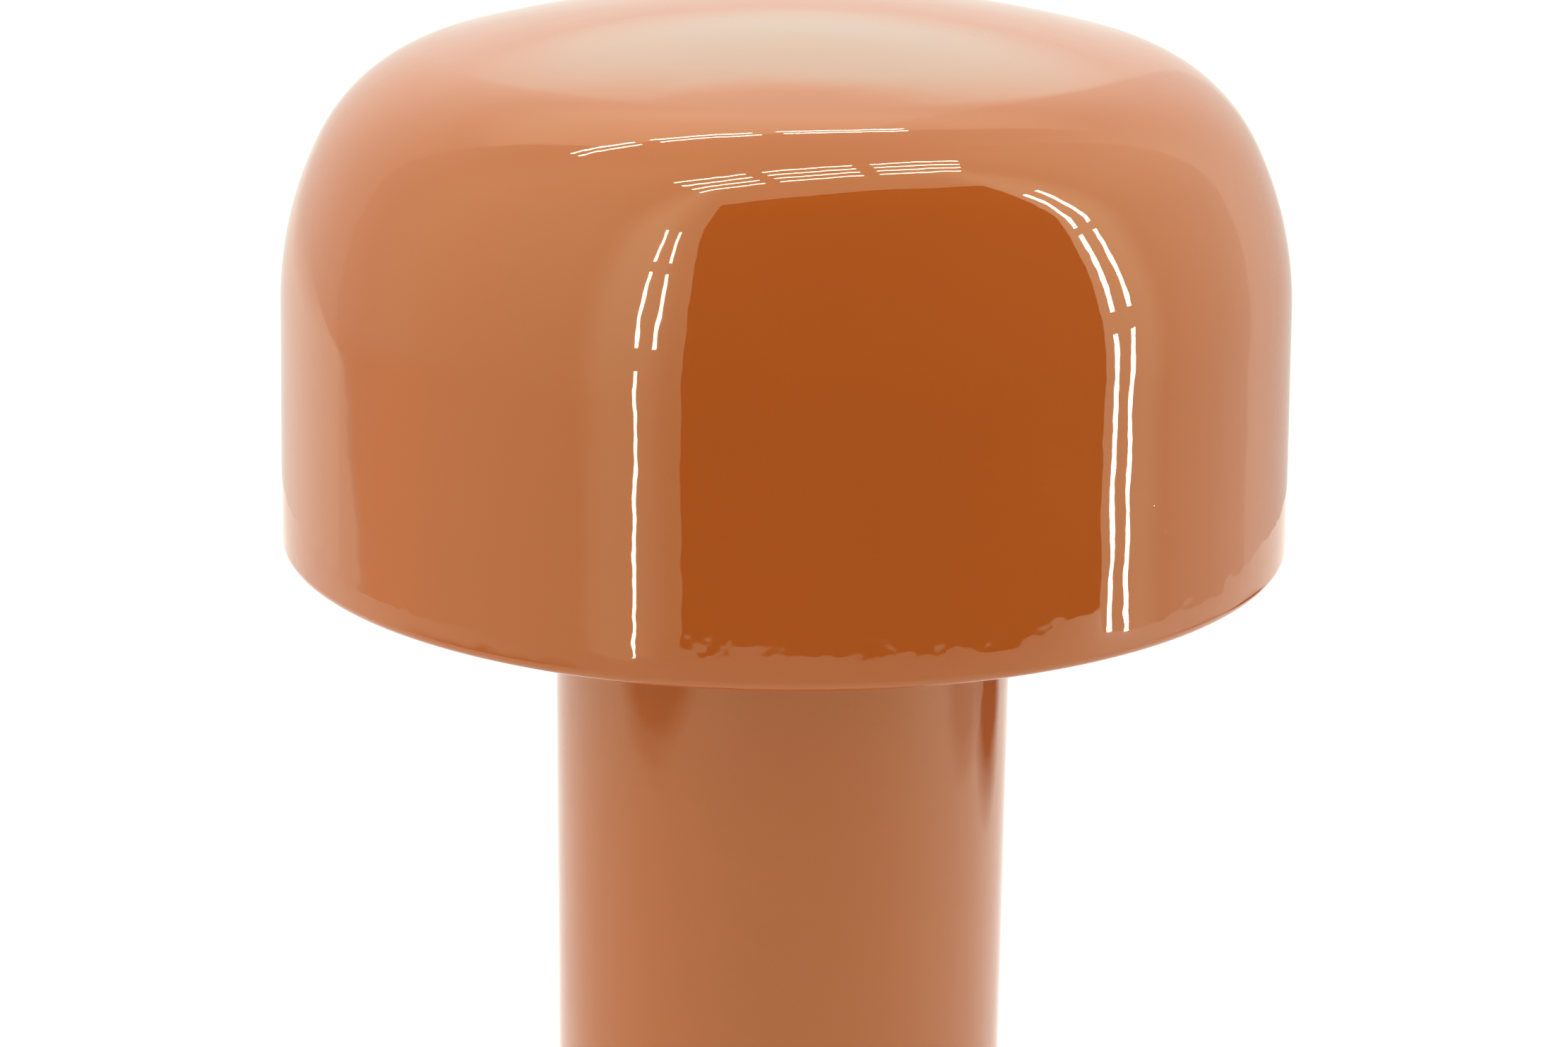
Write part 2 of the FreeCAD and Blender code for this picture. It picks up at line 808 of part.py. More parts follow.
def ballast():
    shank, head, height = large_screw
    holes = discs(shank + hole_clearance, cover_top, ballast_top, cage_screw_spots())
    holes += discs(head + hole_clearance, cover_top, cage_screw_seat, cage_screw_spots())
    return disc(ballast_radius, cover_top, ballast_top).cut(holes)


def cage_screws():
    screw = pan_screw(large_screw, cage_boss_top - tip_clearance - cage_screw_seat)
    return copies(screw, cage_screw_spots(cage_screw_seat), axis_x, half_turn)


# Control board and charging port

def control_board():
    board = ring(board_outer, board_inner, board_bottom, board_top)
    boss_hole = boss_radius + 2 * hole_clearance
    holes = discs(boss_hole, board_bottom, board_top, ring_of(cover_screw_circle, cover_screw_angles))
    screw_hole = small_screw[0] + hole_clearance
    holes += discs(screw_hole, board_bottom, board_top, ring_of(board_middle, control_screw_angles))
    return board.cut(holes)


def control_board_screws():
    screw = pan_screw(small_screw, board_thickness + stem_wall - hole_clearance)
    return copies(screw, ring_of(board_middle, control_screw_angles, board_bottom), axis_x, half_turn)


def charger_chip():
    half = chip_size / 2
    chip = block(-half, half, -half, half, board_bottom - chip_height, board_bottom)
    return placed(chip, around(board_middle, chip_angle))


def power_coil():
    return disc(coil_radius, board_bottom - coil_height, board_bottom, around(board_middle, coil_angle))


def board_capacitors():
    capacitor = disc(capacitor_radius, board_bottom - capacitor_height, board_bottom)
    return copies(capacitor, ring_of(board_middle, capacitor_angles))


def usb_shell():
    return port_bar(0, port_back, port_front).cut(port_bar(-port_sheet, port_back + port_sheet, port_front))


def usb_tongue():
    half = port_tongue_width / 2
    thin = port_tongue_thickness / 2
    plug = port_bar(-port_sheet - seat_gap, port_back + port_sheet, port_block_front)
    tip = port_front - port_tongue_setback
    tongue = block(-half, half, port_block_front, tip, port_height - thin, port_height + thin)
    return plug.fuse(tongue).removeSplitter()


def light_pipe():
    return bar(light_pipe_radius - screw_fit, pipe_back, pipe_front, port_height, light_pipe_offset)


def charge_light():
    low_x = light_pipe_offset - indicator_width / 2
    high_x = light_pipe_offset + indicator_width / 2
    back = indicator_front - indicator_depth
    return block(low_x, high_x, back, indicator_front, board_bottom - indicator_height, board_bottom)


# Wiring

def led_leads():
    turn = nut_bottom - lead_drop
    return Part.makeCompound([
        wire([
            vec(x, pad_distance, board_top),
            vec(x, pad_distance, lead_corner),
            vec(x, wall_run, lead_bend),
            vec(x, wall_run, turn - wire_hole_offset),
            vec(x, wire_hole_offset, turn),
            vec(x, wire_hole_offset, led_board_top),
        ])
        for x in (-wire_side, wire_side)
    ])


def battery_leads():
    return Part.makeCompound([
        wire([
            vec(spot.x, spot.y, shelf_top),
            vec(spot.x, spot.y, shelf_bottom - lead_drop),
            vec(spot.x, wall_run, lead_bend),
            vec(spot.x, pad_distance, lead_corner),
            vec(spot.x, pad_distance, board_top),
        ])
        for spot in lead_spots()
    ])


def switch_leads():
    middle = -(switch_board_front + switch_board_back) / 2
    return Part.makeCompound([
        wire([
            vec(side * lead_rise, middle, switch_board_bottom),
            vec(side * lead_rise, middle, switch_board_bottom - lead_rise),
            vec(side * lead_rise, -pad_distance, lead_corner),
            vec(side * lead_rise, -pad_distance, board_top),
        ])
        for side in both_sides
    ])


# Underside

def base_cover():
    shank, head, height = middle_screw
    hole = shank + hole_clearance
    sink = lathe([
        (0, foot_lift),
        (head + hole_clearance, foot_lift),
        (hole, foot_lift + height),
        (hole, cover_top),
        (0, cover_top),
    ])
    groove = ring(foot_ring_outer + seat_gap, foot_ring_inner - seat_gap, foot_lift, foot_ring_height)
    sinks = [placed(sink, spot) for spot in ring_of(cover_screw_circle, cover_screw_angles)]
    return disc(cover_radius, foot_lift, cover_top).cut([groove] + sinks)


def base_cover_screws():
    screw = sunk_screw(middle_screw, foot_ceiling - foot_lift - hole_clearance)
    return copies(screw, ring_of(cover_screw_circle, cover_screw_angles, foot_lift), axis_x, half_turn)


def foot_ring():
    return ring(foot_ring_outer, foot_ring_inner, 0, foot_ring_height)


nodes = [
    shade_shell, shade_liner, shade_hub, hub_screws,
    shade_post, post_o_ring, post_washer, post_nut, diffuser, diffuser_washer,
    heat_sink, wire_grommet, heat_sink_screws,
    thermal_pad, led_board, led_chips, led_board_screws, led_connector,
    stem_shell, push_button, switch_plunger, switch_body, switch_board, switch_board_screws,
    battery_cage, battery_cells, cell_links, cell_pad, ballast, cage_screws,
    control_board, control_board_screws, charger_chip, power_coil, board_capacitors,
    usb_shell, usb_tongue, light_pipe, charge_light,
    led_leads, battery_leads, switch_leads,
    base_cover, base_cover_screws, foot_ring,
]

os.makedirs("parts", exist_ok=True)
for node in nodes:
    shape = node()
    print(node.__name__, len(shape.Solids), "solids, valid", shape.isValid(), round(shape.Volume, 1), "mm3")
    shape.exportStep("parts/" + node.__name__ + ".step")
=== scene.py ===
import math

import bpy
from mathutils import Matrix, Vector


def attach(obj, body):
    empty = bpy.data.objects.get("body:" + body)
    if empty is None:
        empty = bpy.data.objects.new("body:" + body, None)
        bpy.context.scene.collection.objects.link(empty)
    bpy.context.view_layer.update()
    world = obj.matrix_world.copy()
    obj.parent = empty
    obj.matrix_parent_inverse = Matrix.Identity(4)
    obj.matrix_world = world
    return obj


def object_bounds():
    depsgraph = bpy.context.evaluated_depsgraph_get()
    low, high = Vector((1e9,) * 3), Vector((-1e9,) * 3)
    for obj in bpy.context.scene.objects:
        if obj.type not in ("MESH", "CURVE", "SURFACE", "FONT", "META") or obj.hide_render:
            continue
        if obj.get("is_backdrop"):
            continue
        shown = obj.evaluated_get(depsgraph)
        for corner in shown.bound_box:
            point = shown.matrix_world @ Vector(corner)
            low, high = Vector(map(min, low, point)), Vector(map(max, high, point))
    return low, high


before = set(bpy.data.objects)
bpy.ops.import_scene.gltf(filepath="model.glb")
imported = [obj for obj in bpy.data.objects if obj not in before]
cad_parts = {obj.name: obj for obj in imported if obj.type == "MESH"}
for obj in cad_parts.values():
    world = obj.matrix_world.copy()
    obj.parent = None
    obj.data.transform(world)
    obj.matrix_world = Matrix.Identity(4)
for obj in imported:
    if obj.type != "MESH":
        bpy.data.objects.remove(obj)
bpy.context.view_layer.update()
bpy.ops.object.select_all(action="DESELECT")


# Stem and foot. One hollow moulding in hard plastic, with bosses and guides for all that it holds, sprayed
# in terracotta under a deep clear gloss. The coat is almost flat: a faint orange peel, a slow ripple that
# makes straight reflections waver, and a nib of dust here and there.
def finish(name, roughness=0.4, metallic=0.0):
    """A new material with one shader, which the calls after it give its colour, polish and relief."""
    made = bpy.data.materials.new(name)
    made.use_nodes = True
    shader = made.node_tree.nodes["Principled BSDF"]
    shader.inputs["Roughness"].default_value = roughness
    shader.inputs["Metallic"].default_value = metallic
    return made


def add(made, kind, **inputs):
    """Adds one node to a material and sets the inputs that are named, with _ for a space."""
    added = made.node_tree.nodes.new(kind)
    for name, value in inputs.items():
        added.inputs[name.replace("_", " ")].default_value = value
    return added


def join(made, output, socket):
    """Joins a node's output to another's input."""
    made.node_tree.links.new(output, socket)


def socket_of(made, name):
    """An input of the material's shader."""
    return made.node_tree.nodes["Principled BSDF"].inputs[name]


def place_of(made, stretch=(1.0, 1.0, 1.0)):
    """The point of the piece, in metres, with each direction multiplied by stretch."""
    place = add(made, "ShaderNodeTexCoord")
    mapping = add(made, "ShaderNodeMapping", Scale=stretch)
    join(made, place.outputs["Object"], mapping.inputs["Vector"])
    return mapping.outputs["Vector"]


def clouds(made, size, detail=2.0, stretch=(1.0, 1.0, 1.0)):
    """A cloudy pattern with patches of about that size in metres."""
    noise = add(made, "ShaderNodeTexNoise", Scale=1.0 / size, Detail=detail)
    join(made, place_of(made, stretch), noise.inputs["Vector"])
    return noise.outputs["Fac"]


def specks(made, apart, across):
    """Grains scattered about that far apart in the piece, of that size in metres: 1 on a grain, 0 off it."""
    cells = add(made, "ShaderNodeTexVoronoi", Scale=1.0 / apart)
    join(made, place_of(made), cells.inputs["Vector"])
    edge = add(made, "ShaderNodeMapRange")
    edge.inputs["From Min"].default_value = 0.5 * across / apart
    edge.inputs["From Max"].default_value = 0.0
    join(made, cells.outputs["Distance"], edge.inputs["Value"])
    return edge.outputs["Result"]


def tint(made, pattern, *stops):
    """Colours a material by a pattern. Each stop is a place from 0 to 1 and the colour there."""
    ramp = add(made, "ShaderNodeValToRGB")
    elements = ramp.color_ramp.elements
    while len(elements) < len(stops):
        elements.new(0.5)
    for element, (place, colour) in zip(elements, stops):
        element.position = place
        element.color = (*colour, 1.0)
    join(made, pattern, ramp.inputs["Fac"])
    join(made, ramp.outputs["Color"], socket_of(made, "Base Color"))


def polish(made, pattern, low, high):
    """Makes a material smoother and rougher by a pattern."""
    span = add(made, "ShaderNodeMapRange")
    span.inputs["To Min"].default_value = low
    span.inputs["To Max"].default_value = high
    join(made, pattern, span.inputs["Value"])
    join(made, span.outputs["Result"], socket_of(made, "Roughness"))


def relief(made, pattern, height):
    """Raises the surface by a pattern, from 0 to that height in metres, over the relief that it has."""
    bump = add(made, "ShaderNodeBump", Strength=1.0, Distance=height)
    normal = socket_of(made, "Normal")
    join(made, pattern, bump.inputs["Height"])
    if normal.is_linked:
        join(made, normal.links[0].from_socket, bump.inputs["Normal"])
    join(made, bump.outputs["Normal"], normal)


def coat(made, *names):
    """Gives these pieces that material."""
    for name in names:
        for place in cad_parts[name].material_slots:
            place.material = made


def lacquered(name):
    """Terracotta under clear gloss: faint clouds, a slow ripple, fine orange peel and nibs of dust."""
    made = finish(name)
    tint(made, clouds(made, 0.035), (0.3, (0.376, 0.0808, 0.0116)), (0.7, (0.394, 0.085, 0.0128)))
    socket_of(made, "IOR").default_value = 1.7
    socket_of(made, "Specular Tint").default_value = (1.0, 1.0, 0.66, 1.0)
    polish(made, clouds(made, 0.012), 0.012, 0.028)
    relief(made, clouds(made, 0.008, detail=0.5), 4.5e-5)
    relief(made, clouds(made, 0.0025, detail=1.0), 6.0e-6)
    relief(made, specks(made, 0.007, 0.0004), 1.5e-5)
    return made


lacquer = lacquered("stem_lacquer")
coat(lacquer, "stem_shell")

film_outside = 0.00008
film_inside = 0.00003
film_sides = 240
stem_radius = 0.0287
stem_top = 0.150025
foot_radius = 0.044
foot_under = 0.001
foot_top_round = 0.004
foot_top = 0.012
foot_bottom_round = 0.0015
flare_radius = 0.0113
cup_edge = 0.02842
cover_edge = 0.04175


def bend(across, up, radius, start, stop, steps):
    """Points along an arc in the XZ plane, about a centre that far across and up, by angles in degrees."""
    turns = [math.radians(start + (stop - start) * step / steps) for step in range(steps + 1)]
    return [Vector((across + radius * math.cos(turn), 0.0, up + radius * math.sin(turn))) for turn in turns]


def run(start, stop, steps):
    """Points along a straight line, without its ends."""
    return [start.lerp(stop, step / steps) for step in range(1, steps)]


def turn_film(name, outside, inside):
    """A closed film, turned about the Z axis from the paths of its outer and its inner skin."""
    path = outside + inside[::-1]
    bpy.ops.object.select_all(action="DESELECT")
    bpy.ops.mesh.primitive_plane_add(size=0.001)
    made = bpy.context.object
    made.name = name
    bpy.ops.object.mode_set(mode="EDIT")
    bpy.ops.mesh.select_all(action="SELECT")
    bpy.ops.mesh.merge(type="CENTER")
    bpy.ops.transform.translate(value=path[0])
    for start, stop in zip(path, path[1:]):
        bpy.ops.mesh.extrude_vertices_move(TRANSFORM_OT_translate={"value": stop - start})
    if path[0].x > 0.0:
        bpy.ops.mesh.extrude_vertices_move(TRANSFORM_OT_translate={"value": path[0] - path[-1]})
    bpy.ops.mesh.select_all(action="SELECT")
    bpy.ops.mesh.remove_doubles(threshold=1e-6)
    bpy.ops.mesh.spin(steps=film_sides, angle=2.0 * math.pi, center=(0.0, 0.0, 0.0), axis=(0.0, 0.0, 1.0))
    bpy.ops.mesh.select_all(action="SELECT")
    bpy.ops.mesh.remove_doubles(threshold=1e-6)
    bpy.ops.mesh.normals_make_consistent(inside=False)
    bpy.ops.object.mode_set(mode="OBJECT")
    bpy.ops.object.shade_smooth_by_angle(angle=math.radians(30.0))
    return made


def stem_skin(proud):
    """Path down the outside of the stem and foot, that far proud of the moulding."""
    flare_across = foot_radius - foot_top_round
    flare_up = foot_top + flare_radius
    edge_across = foot_radius - foot_bottom_round
    edge_up = foot_under + foot_bottom_round
    top = [Vector((cup_edge, 0.0, stem_top + proud))] + bend(stem_radius, stem_top, proud, 90.0, 0.0, 4)
    flare = bend(flare_across, flare_up, flare_radius - proud, 180.0, 270.0, 40)
    round_top = bend(flare_across, foot_top - foot_top_round, foot_top_round + proud, 90.0, 0.0, 24)
    edge = bend(edge_across, edge_up, foot_bottom_round + proud, 0.0, -90.0, 12)
    under = [Vector((cover_edge, 0.0, foot_under - proud))]
    straight = run(top[-1], flare[0], 12)
    return top + straight + flare + round_top[1:] + run(round_top[-1], edge[0], 6) + edge + under


def cut_away(piece, cutter):
    """Cuts one piece's shape out of another."""
    bpy.ops.object.select_all(action="DESELECT")
    bpy.context.view_layer.objects.active = piece
    hole = piece.modifiers.new("hole", "BOOLEAN")
    hole.object = cutter
    hole.solver = "MANIFOLD"
    bpy.ops.object.modifier_apply(modifier=hole.name)
    bpy.data.objects.remove(cutter)


def select_where(piece, chosen):
    """Opens a piece for editing with those of its corners selected whose place is chosen."""
    bpy.ops.object.mode_set(mode="EDIT")
    bpy.ops.mesh.select_all(action="DESELECT")
    bpy.ops.object.mode_set(mode="OBJECT")
    for corner in piece.data.vertices:
        corner.select = chosen(corner.co)
    bpy.ops.object.mode_set(mode="EDIT")


def drill(across, up, along, radius, stretch=0.0):
    """A round cutter along Y, drawn out sideways by stretch to each side."""
    bpy.ops.object.select_all(action="DESELECT")
    bpy.ops.mesh.primitive_cylinder_add(vertices=94, radius=radius, depth=0.006, location=(0.0, along, up),
                                        rotation=(math.radians(90.0), 0.0, 0.0))
    made = bpy.context.object
    bpy.ops.object.transform_apply(location=True, rotation=True, scale=True)
    for side in (-1.0, 1.0):
        select_where(made, lambda place: place.x * side > 0.0)
        bpy.ops.transform.translate(value=(side * stretch, 0.0, 0.0))
        bpy.ops.object.mode_set(mode="OBJECT")
    bpy.ops.object.mode_set(mode="EDIT")
    bpy.ops.mesh.select_all(action="SELECT")
    bpy.ops.transform.translate(value=(across, 0.0, 0.0))
    bpy.ops.object.mode_set(mode="OBJECT")
    return made


button_up = 0.034
button_hole = 0.00605
port_up = 0.00525
port_round = 0.00188
port_half_flat = 0.00284
light_across = 0.009
light_along = foot_radius - 0.001
light_hole = 0.00105
stem_film = turn_film("stem_film", stem_skin(film_outside), stem_skin(film_inside))
stem_film.data.materials.append(lacquer)
cut_away(stem_film, drill(0.0, button_up, -stem_radius, button_hole))
cut_away(stem_film, drill(0.0, port_up, foot_radius, port_round, port_half_flat))
cut_away(stem_film, drill(light_across, port_up, light_along, light_hole))
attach(stem_film, "lamp")


# Ballast and battery cage. A cast ring of grey iron lies in the foot so that the lamp stands firm, and the
# black moulded cage stands on it. Two screws hold both to the bosses of the stem.
iron = finish("cast_iron", metallic=0.7)
tint(iron, clouds(iron, 0.004, detail=5.0), (0.35, (0.09, 0.088, 0.085)), (0.7, (0.15, 0.147, 0.142)))
polish(iron, clouds(iron, 0.002), 0.55, 0.8)
relief(iron, clouds(iron, 0.0012, detail=4.0), 1.2e-4)
coat(iron, "ballast")

spark_black = finish("spark_textured_black")
tint(spark_black, clouds(spark_black, 0.02), (0.3, (0.018, 0.018, 0.019)), (0.7, (0.026, 0.026, 0.027)))
polish(spark_black, clouds(spark_black, 0.0011), 0.42, 0.62)
relief(spark_black, clouds(spark_black, 0.0006, detail=3.0), 2.5e-5)
coat(spark_black, "battery_cage")

zinc = finish("zinc_plate", metallic=1.0)
tint(zinc, clouds(zinc, 0.0016, detail=3.0), (0.3, (0.58, 0.6, 0.63)), (0.7, (0.72, 0.73, 0.75)))
polish(zinc, clouds(zinc, 0.0009), 0.2, 0.38)
relief(zinc, clouds(zinc, 0.0004, detail=3.0), 4.0e-6)
coat(zinc, "cage_screws")


# Battery. Two round cells in shrunk film, joined by spot-welded strips of nickel and bedded on a pad of
# grey foam.
film = finish("shrunk_film")
tint(film, clouds(film, 0.015, stretch=(1.0, 1.0, 0.3)),
     (0.3, (0.05, 0.2, 0.23)), (0.7, (0.065, 0.235, 0.26)))
polish(film, clouds(film, 0.004), 0.22, 0.36)
relief(film, clouds(film, 0.003, detail=3.0, stretch=(1.0, 1.0, 0.25)), 3.0e-5)
coat(film, "battery_cells")

nickel = finish("rolled_nickel", metallic=1.0)
tint(nickel, clouds(nickel, 0.002, stretch=(0.1, 1.0, 1.0)),
     (0.3, (0.55, 0.52, 0.47)), (0.7, (0.68, 0.65, 0.59)))
polish(nickel, clouds(nickel, 0.0008, stretch=(0.08, 1.0, 1.0)), 0.22, 0.4)
relief(nickel, specks(nickel, 0.0018, 0.0009), 6.0e-5)
coat(nickel, "cell_links")

foam = finish("grey_foam")
tint(foam, clouds(foam, 0.0012, detail=4.0), (0.35, (0.1, 0.1, 0.105)), (0.7, (0.2, 0.2, 0.205)))
polish(foam, clouds(foam, 0.001), 0.85, 1.0)
relief(foam, specks(foam, 0.0008, 0.0009), -2.5e-4)
coat(foam, "cell_pad")


# Control board. Glass-cloth board in green mask with the charger chip, a wound coil in its black cup and
# ceramic capacitors, held to the foot by screws at its edge.
def weave(made, pitch):
    """The crossed threads of the glass cloth under the mask, that far apart."""
    across = add(made, "ShaderNodeTexWave", Scale=0.05 / pitch, Distortion=0.6, Detail=1.0)
    along = add(made, "ShaderNodeTexWave", Scale=0.05 / pitch, Distortion=0.6, Detail=1.0)
    across.bands_direction = "X"
    along.bands_direction = "Y"
    both = add(made, "ShaderNodeMath")
    both.operation = "MULTIPLY"
    for number, wave in enumerate((across, along)):
        join(made, place_of(made), wave.inputs["Vector"])
        join(made, wave.outputs["Fac"], both.inputs[number])
    return both.outputs["Value"]


green_mask = finish("green_mask")
tint(green_mask, clouds(green_mask, 0.003, detail=0.0),
     (0.46, (0.012, 0.11, 0.045)), (0.5, (0.03, 0.19, 0.075)), (0.54, (0.012, 0.11, 0.045)))
polish(green_mask, clouds(green_mask, 0.002), 0.25, 0.4)
relief(green_mask, weave(green_mask, 0.0007), 8.0e-6)
coat(green_mask, "control_board")

epoxy = finish("matt_epoxy")
tint(epoxy, clouds(epoxy, 0.0012, detail=3.0), (0.3, (0.014, 0.014, 0.015)), (0.7, (0.024, 0.024, 0.025)))
polish(epoxy, clouds(epoxy, 0.0006), 0.5, 0.7)
relief(epoxy, clouds(epoxy, 0.0003, detail=3.0), 8.0e-6)
coat(epoxy, "charger_chip", "power_coil")

ceramic = finish("tan_ceramic")
tint(ceramic, clouds(ceramic, 0.0008, detail=3.0), (0.3, (0.32, 0.2, 0.1)), (0.7, (0.42, 0.28, 0.16)))
polish(ceramic, clouds(ceramic, 0.0005), 0.3, 0.5)
relief(ceramic, clouds(ceramic, 0.0003), 5.0e-6)
coat(ceramic, "board_capacitors")
coat(zinc, "control_board_screws")


# Charging port and its light. A folded shell of stainless steel with a black tongue, soldered to the board,
# and beside it a clear pipe that carries the light of a small diode to the outside of the foot.
stainless = finish("brushed_stainless", metallic=1.0)
tint(stainless, clouds(stainless, 0.0012, stretch=(1.0, 0.05, 1.0)),
     (0.3, (0.5, 0.5, 0.51)), (0.7, (0.64, 0.64, 0.65)))
polish(stainless, clouds(stainless, 0.0006, stretch=(1.0, 0.05, 1.0)), 0.22, 0.4)
relief(stainless, clouds(stainless, 0.0004, stretch=(1.0, 0.04, 1.0)), 4.0e-6)
coat(stainless, "usb_shell")
coat(epoxy, "usb_tongue")

clear_plastic = finish("clear_plastic", roughness=0.08)
socket_of(clear_plastic, "Transmission Weight").default_value = 0.85
tint(clear_plastic, clouds(clear_plastic, 0.004), (0.3, (0.86, 0.88, 0.88)), (0.7, (0.93, 0.94, 0.94)))
relief(clear_plastic, clouds(clear_plastic, 0.0008), 3.0e-6)
coat(clear_plastic, "light_pipe")

nylon = finish("white_nylon")
tint(nylon, clouds(nylon, 0.002, detail=3.0), (0.3, (0.74, 0.72, 0.67)), (0.7, (0.81, 0.79, 0.74)))
polish(nylon, clouds(nylon, 0.001), 0.35, 0.5)
relief(nylon, clouds(nylon, 0.0005), 5.0e-6)
coat(nylon, "charge_light")


# Switch and button. A small board screwed behind the stem's wall carries a push switch. Its plunger stands
# under the button, a lacquered cap that slides in the guide of the stem.
coat(green_mask, "switch_board")
coat(zinc, "switch_board_screws")
coat(epoxy, "switch_body", "switch_plunger")
coat(lacquer, "push_button")


# Wiring. Stranded wire in soft coloured sleeve: red from the battery, white to the light, yellow to the
# switch.
def sleeve(name, dark, light):
    """The soft sleeve of a wire, between two shades of its colour."""
    made = finish(name)
    tint(made, clouds(made, 0.006, detail=3.0), (0.3, dark), (0.7, light))
    polish(made, clouds(made, 0.002), 0.38, 0.55)
    relief(made, clouds(made, 0.0007, detail=2.0), 1.2e-5)
    return made


coat(sleeve("red_sleeve", (0.42, 0.02, 0.016), (0.52, 0.03, 0.022)), "battery_leads")
coat(sleeve("white_sleeve", (0.68, 0.67, 0.64), (0.76, 0.75, 0.72)), "led_leads")
coat(sleeve("yellow_sleeve", (0.62, 0.42, 0.04), (0.72, 0.5, 0.06)), "switch_leads")


# Underside. A black cover closes the foot with sunk screws, and a rubber ring pressed into its groove keeps
# the lamp from sliding.
coat(spark_black, "base_cover")
coat(zinc, "base_cover_screws")

rubber = finish("black_rubber")
tint(rubber, clouds(rubber, 0.005, detail=4.0), (0.3, (0.016, 0.016, 0.016)), (0.7, (0.03, 0.03, 0.029)))
polish(rubber, clouds(rubber, 0.0015), 0.65, 0.85)
relief(rubber, clouds(rubber, 0.0004, detail=3.0), 1.6e-5)
coat(rubber, "foot_ring")


# Light source. A turned aluminium plate closes the top of the stem and takes the heat of a white board with
# a ring of diodes, through a grey pad. The wires come up through a rubber grommet to a white plug.
def turning_marks(made, pitch):
    """The marks that a lathe leaves round the Z axis, about that far apart."""
    place = add(made, "ShaderNodeTexCoord")
    flat = add(made, "ShaderNodeVectorMath")
    flat.operation = "MULTIPLY"
    flat.inputs[1].default_value = (1.0, 1.0, 0.0)
    from_axis = add(made, "ShaderNodeVectorMath")
    from_axis.operation = "LENGTH"
    split = add(made, "ShaderNodeSeparateXYZ")
    turned = add(made, "ShaderNodeCombineXYZ")
    marks = add(made, "ShaderNodeTexNoise", Scale=1.0 / pitch, Detail=3.0)
    join(made, place.outputs["Object"], flat.inputs[0])
    join(made, flat.outputs["Vector"], from_axis.inputs[0])
    join(made, place.outputs["Object"], split.inputs["Vector"])
    join(made, from_axis.outputs["Value"], turned.inputs["X"])
    join(made, split.outputs["Z"], turned.inputs["Z"])
    join(made, turned.outputs["Vector"], marks.inputs["Vector"])
    return marks.outputs["Fac"]


aluminium = finish("turned_aluminium", metallic=1.0)
tint(aluminium, turning_marks(aluminium, 0.0012), (0.3, (0.68, 0.68, 0.69)), (0.7, (0.8, 0.8, 0.81)))
polish(aluminium, turning_marks(aluminium, 0.0006), 0.22, 0.36)
relief(aluminium, turning_marks(aluminium, 0.00035), 5.0e-6)
coat(aluminium, "heat_sink")
coat(zinc, "heat_sink_screws", "led_board_screws")
coat(foam, "thermal_pad")
coat(rubber, "wire_grommet")
coat(nylon, "led_connector")

white_mask = finish("white_mask")
tint(white_mask, clouds(white_mask, 0.006, detail=2.0), (0.3, (0.78, 0.78, 0.76)), (0.7, (0.85, 0.85, 0.83)))
polish(white_mask, clouds(white_mask, 0.0015), 0.28, 0.42)
relief(white_mask, weave(white_mask, 0.0007), 5.0e-6)
coat(white_mask, "led_board")

phosphor = finish("yellow_phosphor")
tint(phosphor, clouds(phosphor, 0.0006, detail=4.0), (0.3, (0.72, 0.52, 0.06)), (0.7, (0.85, 0.68, 0.14)))
polish(phosphor, clouds(phosphor, 0.0004), 0.25, 0.45)
relief(phosphor, clouds(phosphor, 0.0003), 1.0e-5)
coat(phosphor, "led_chips")


# Diffuser and post. An opal cup stands over the light, held down by the turned post that goes through its
# roof with a clear soft washer, and by a nut under the plate. A rubber ring in the post's groove steadies
# the shade.
opal = finish("opal_acrylic")
tint(opal, clouds(opal, 0.012, detail=2.0), (0.3, (0.72, 0.715, 0.695)), (0.7, (0.77, 0.765, 0.745)))
polish(opal, clouds(opal, 0.003), 0.3, 0.42)
relief(opal, clouds(opal, 0.0009, detail=2.0), 4.0e-6)
socket_of(opal, "Subsurface Weight").default_value = 0.35
socket_of(opal, "Subsurface Radius").default_value = (1.0, 0.95, 0.85)
socket_of(opal, "Subsurface Scale").default_value = 0.003
coat(opal, "diffuser")

silicone = finish("clear_silicone")
tint(silicone, clouds(silicone, 0.004), (0.3, (0.72, 0.73, 0.72)), (0.7, (0.8, 0.81, 0.8)))
polish(silicone, clouds(silicone, 0.001), 0.35, 0.5)
relief(silicone, clouds(silicone, 0.0006), 5.0e-6)
socket_of(silicone, "Transmission Weight").default_value = 0.4
coat(silicone, "diffuser_washer")
coat(aluminium, "shade_post")
coat(zinc, "post_washer", "post_nut")
coat(rubber, "post_o_ring")


# Shade. The terracotta dome is moulded thin and lacquered as the stem is. Three screws hold the white hub
# under its crown, and the hub holds up the satin reflector that lines the dome.
reflector = finish("satin_reflector")
tint(reflector, clouds(reflector, 0.02, detail=2.0), (0.3, (0.77, 0.765, 0.75)), (0.7, (0.82, 0.815, 0.8)))
polish(reflector, clouds(reflector, 0.002), 0.36, 0.5)
relief(reflector, clouds(reflector, 0.0007, detail=2.0), 6.0e-6)
coat(reflector, "shade_hub", "shade_liner")
coat(zinc, "hub_screws")


def low_down(made, pattern, bottom, top):
    """A pattern that is whole at one height of the lamp and dies away towards another, in metres."""
    split = add(made, "ShaderNodeSeparateXYZ")
    share = add(made, "ShaderNodeMapRange")
    share.inputs["From Min"].default_value = top
    share.inputs["From Max"].default_value = bottom
    both = add(made, "ShaderNodeMath")
    both.operation = "MULTIPLY"
    join(made, place_of(made), split.inputs["Vector"])
    join(made, split.outputs["Z"], share.inputs["Value"])
    join(made, share.outputs["Result"], both.inputs[0])
    join(made, pattern, both.inputs[1])
    return both.outputs["Value"]


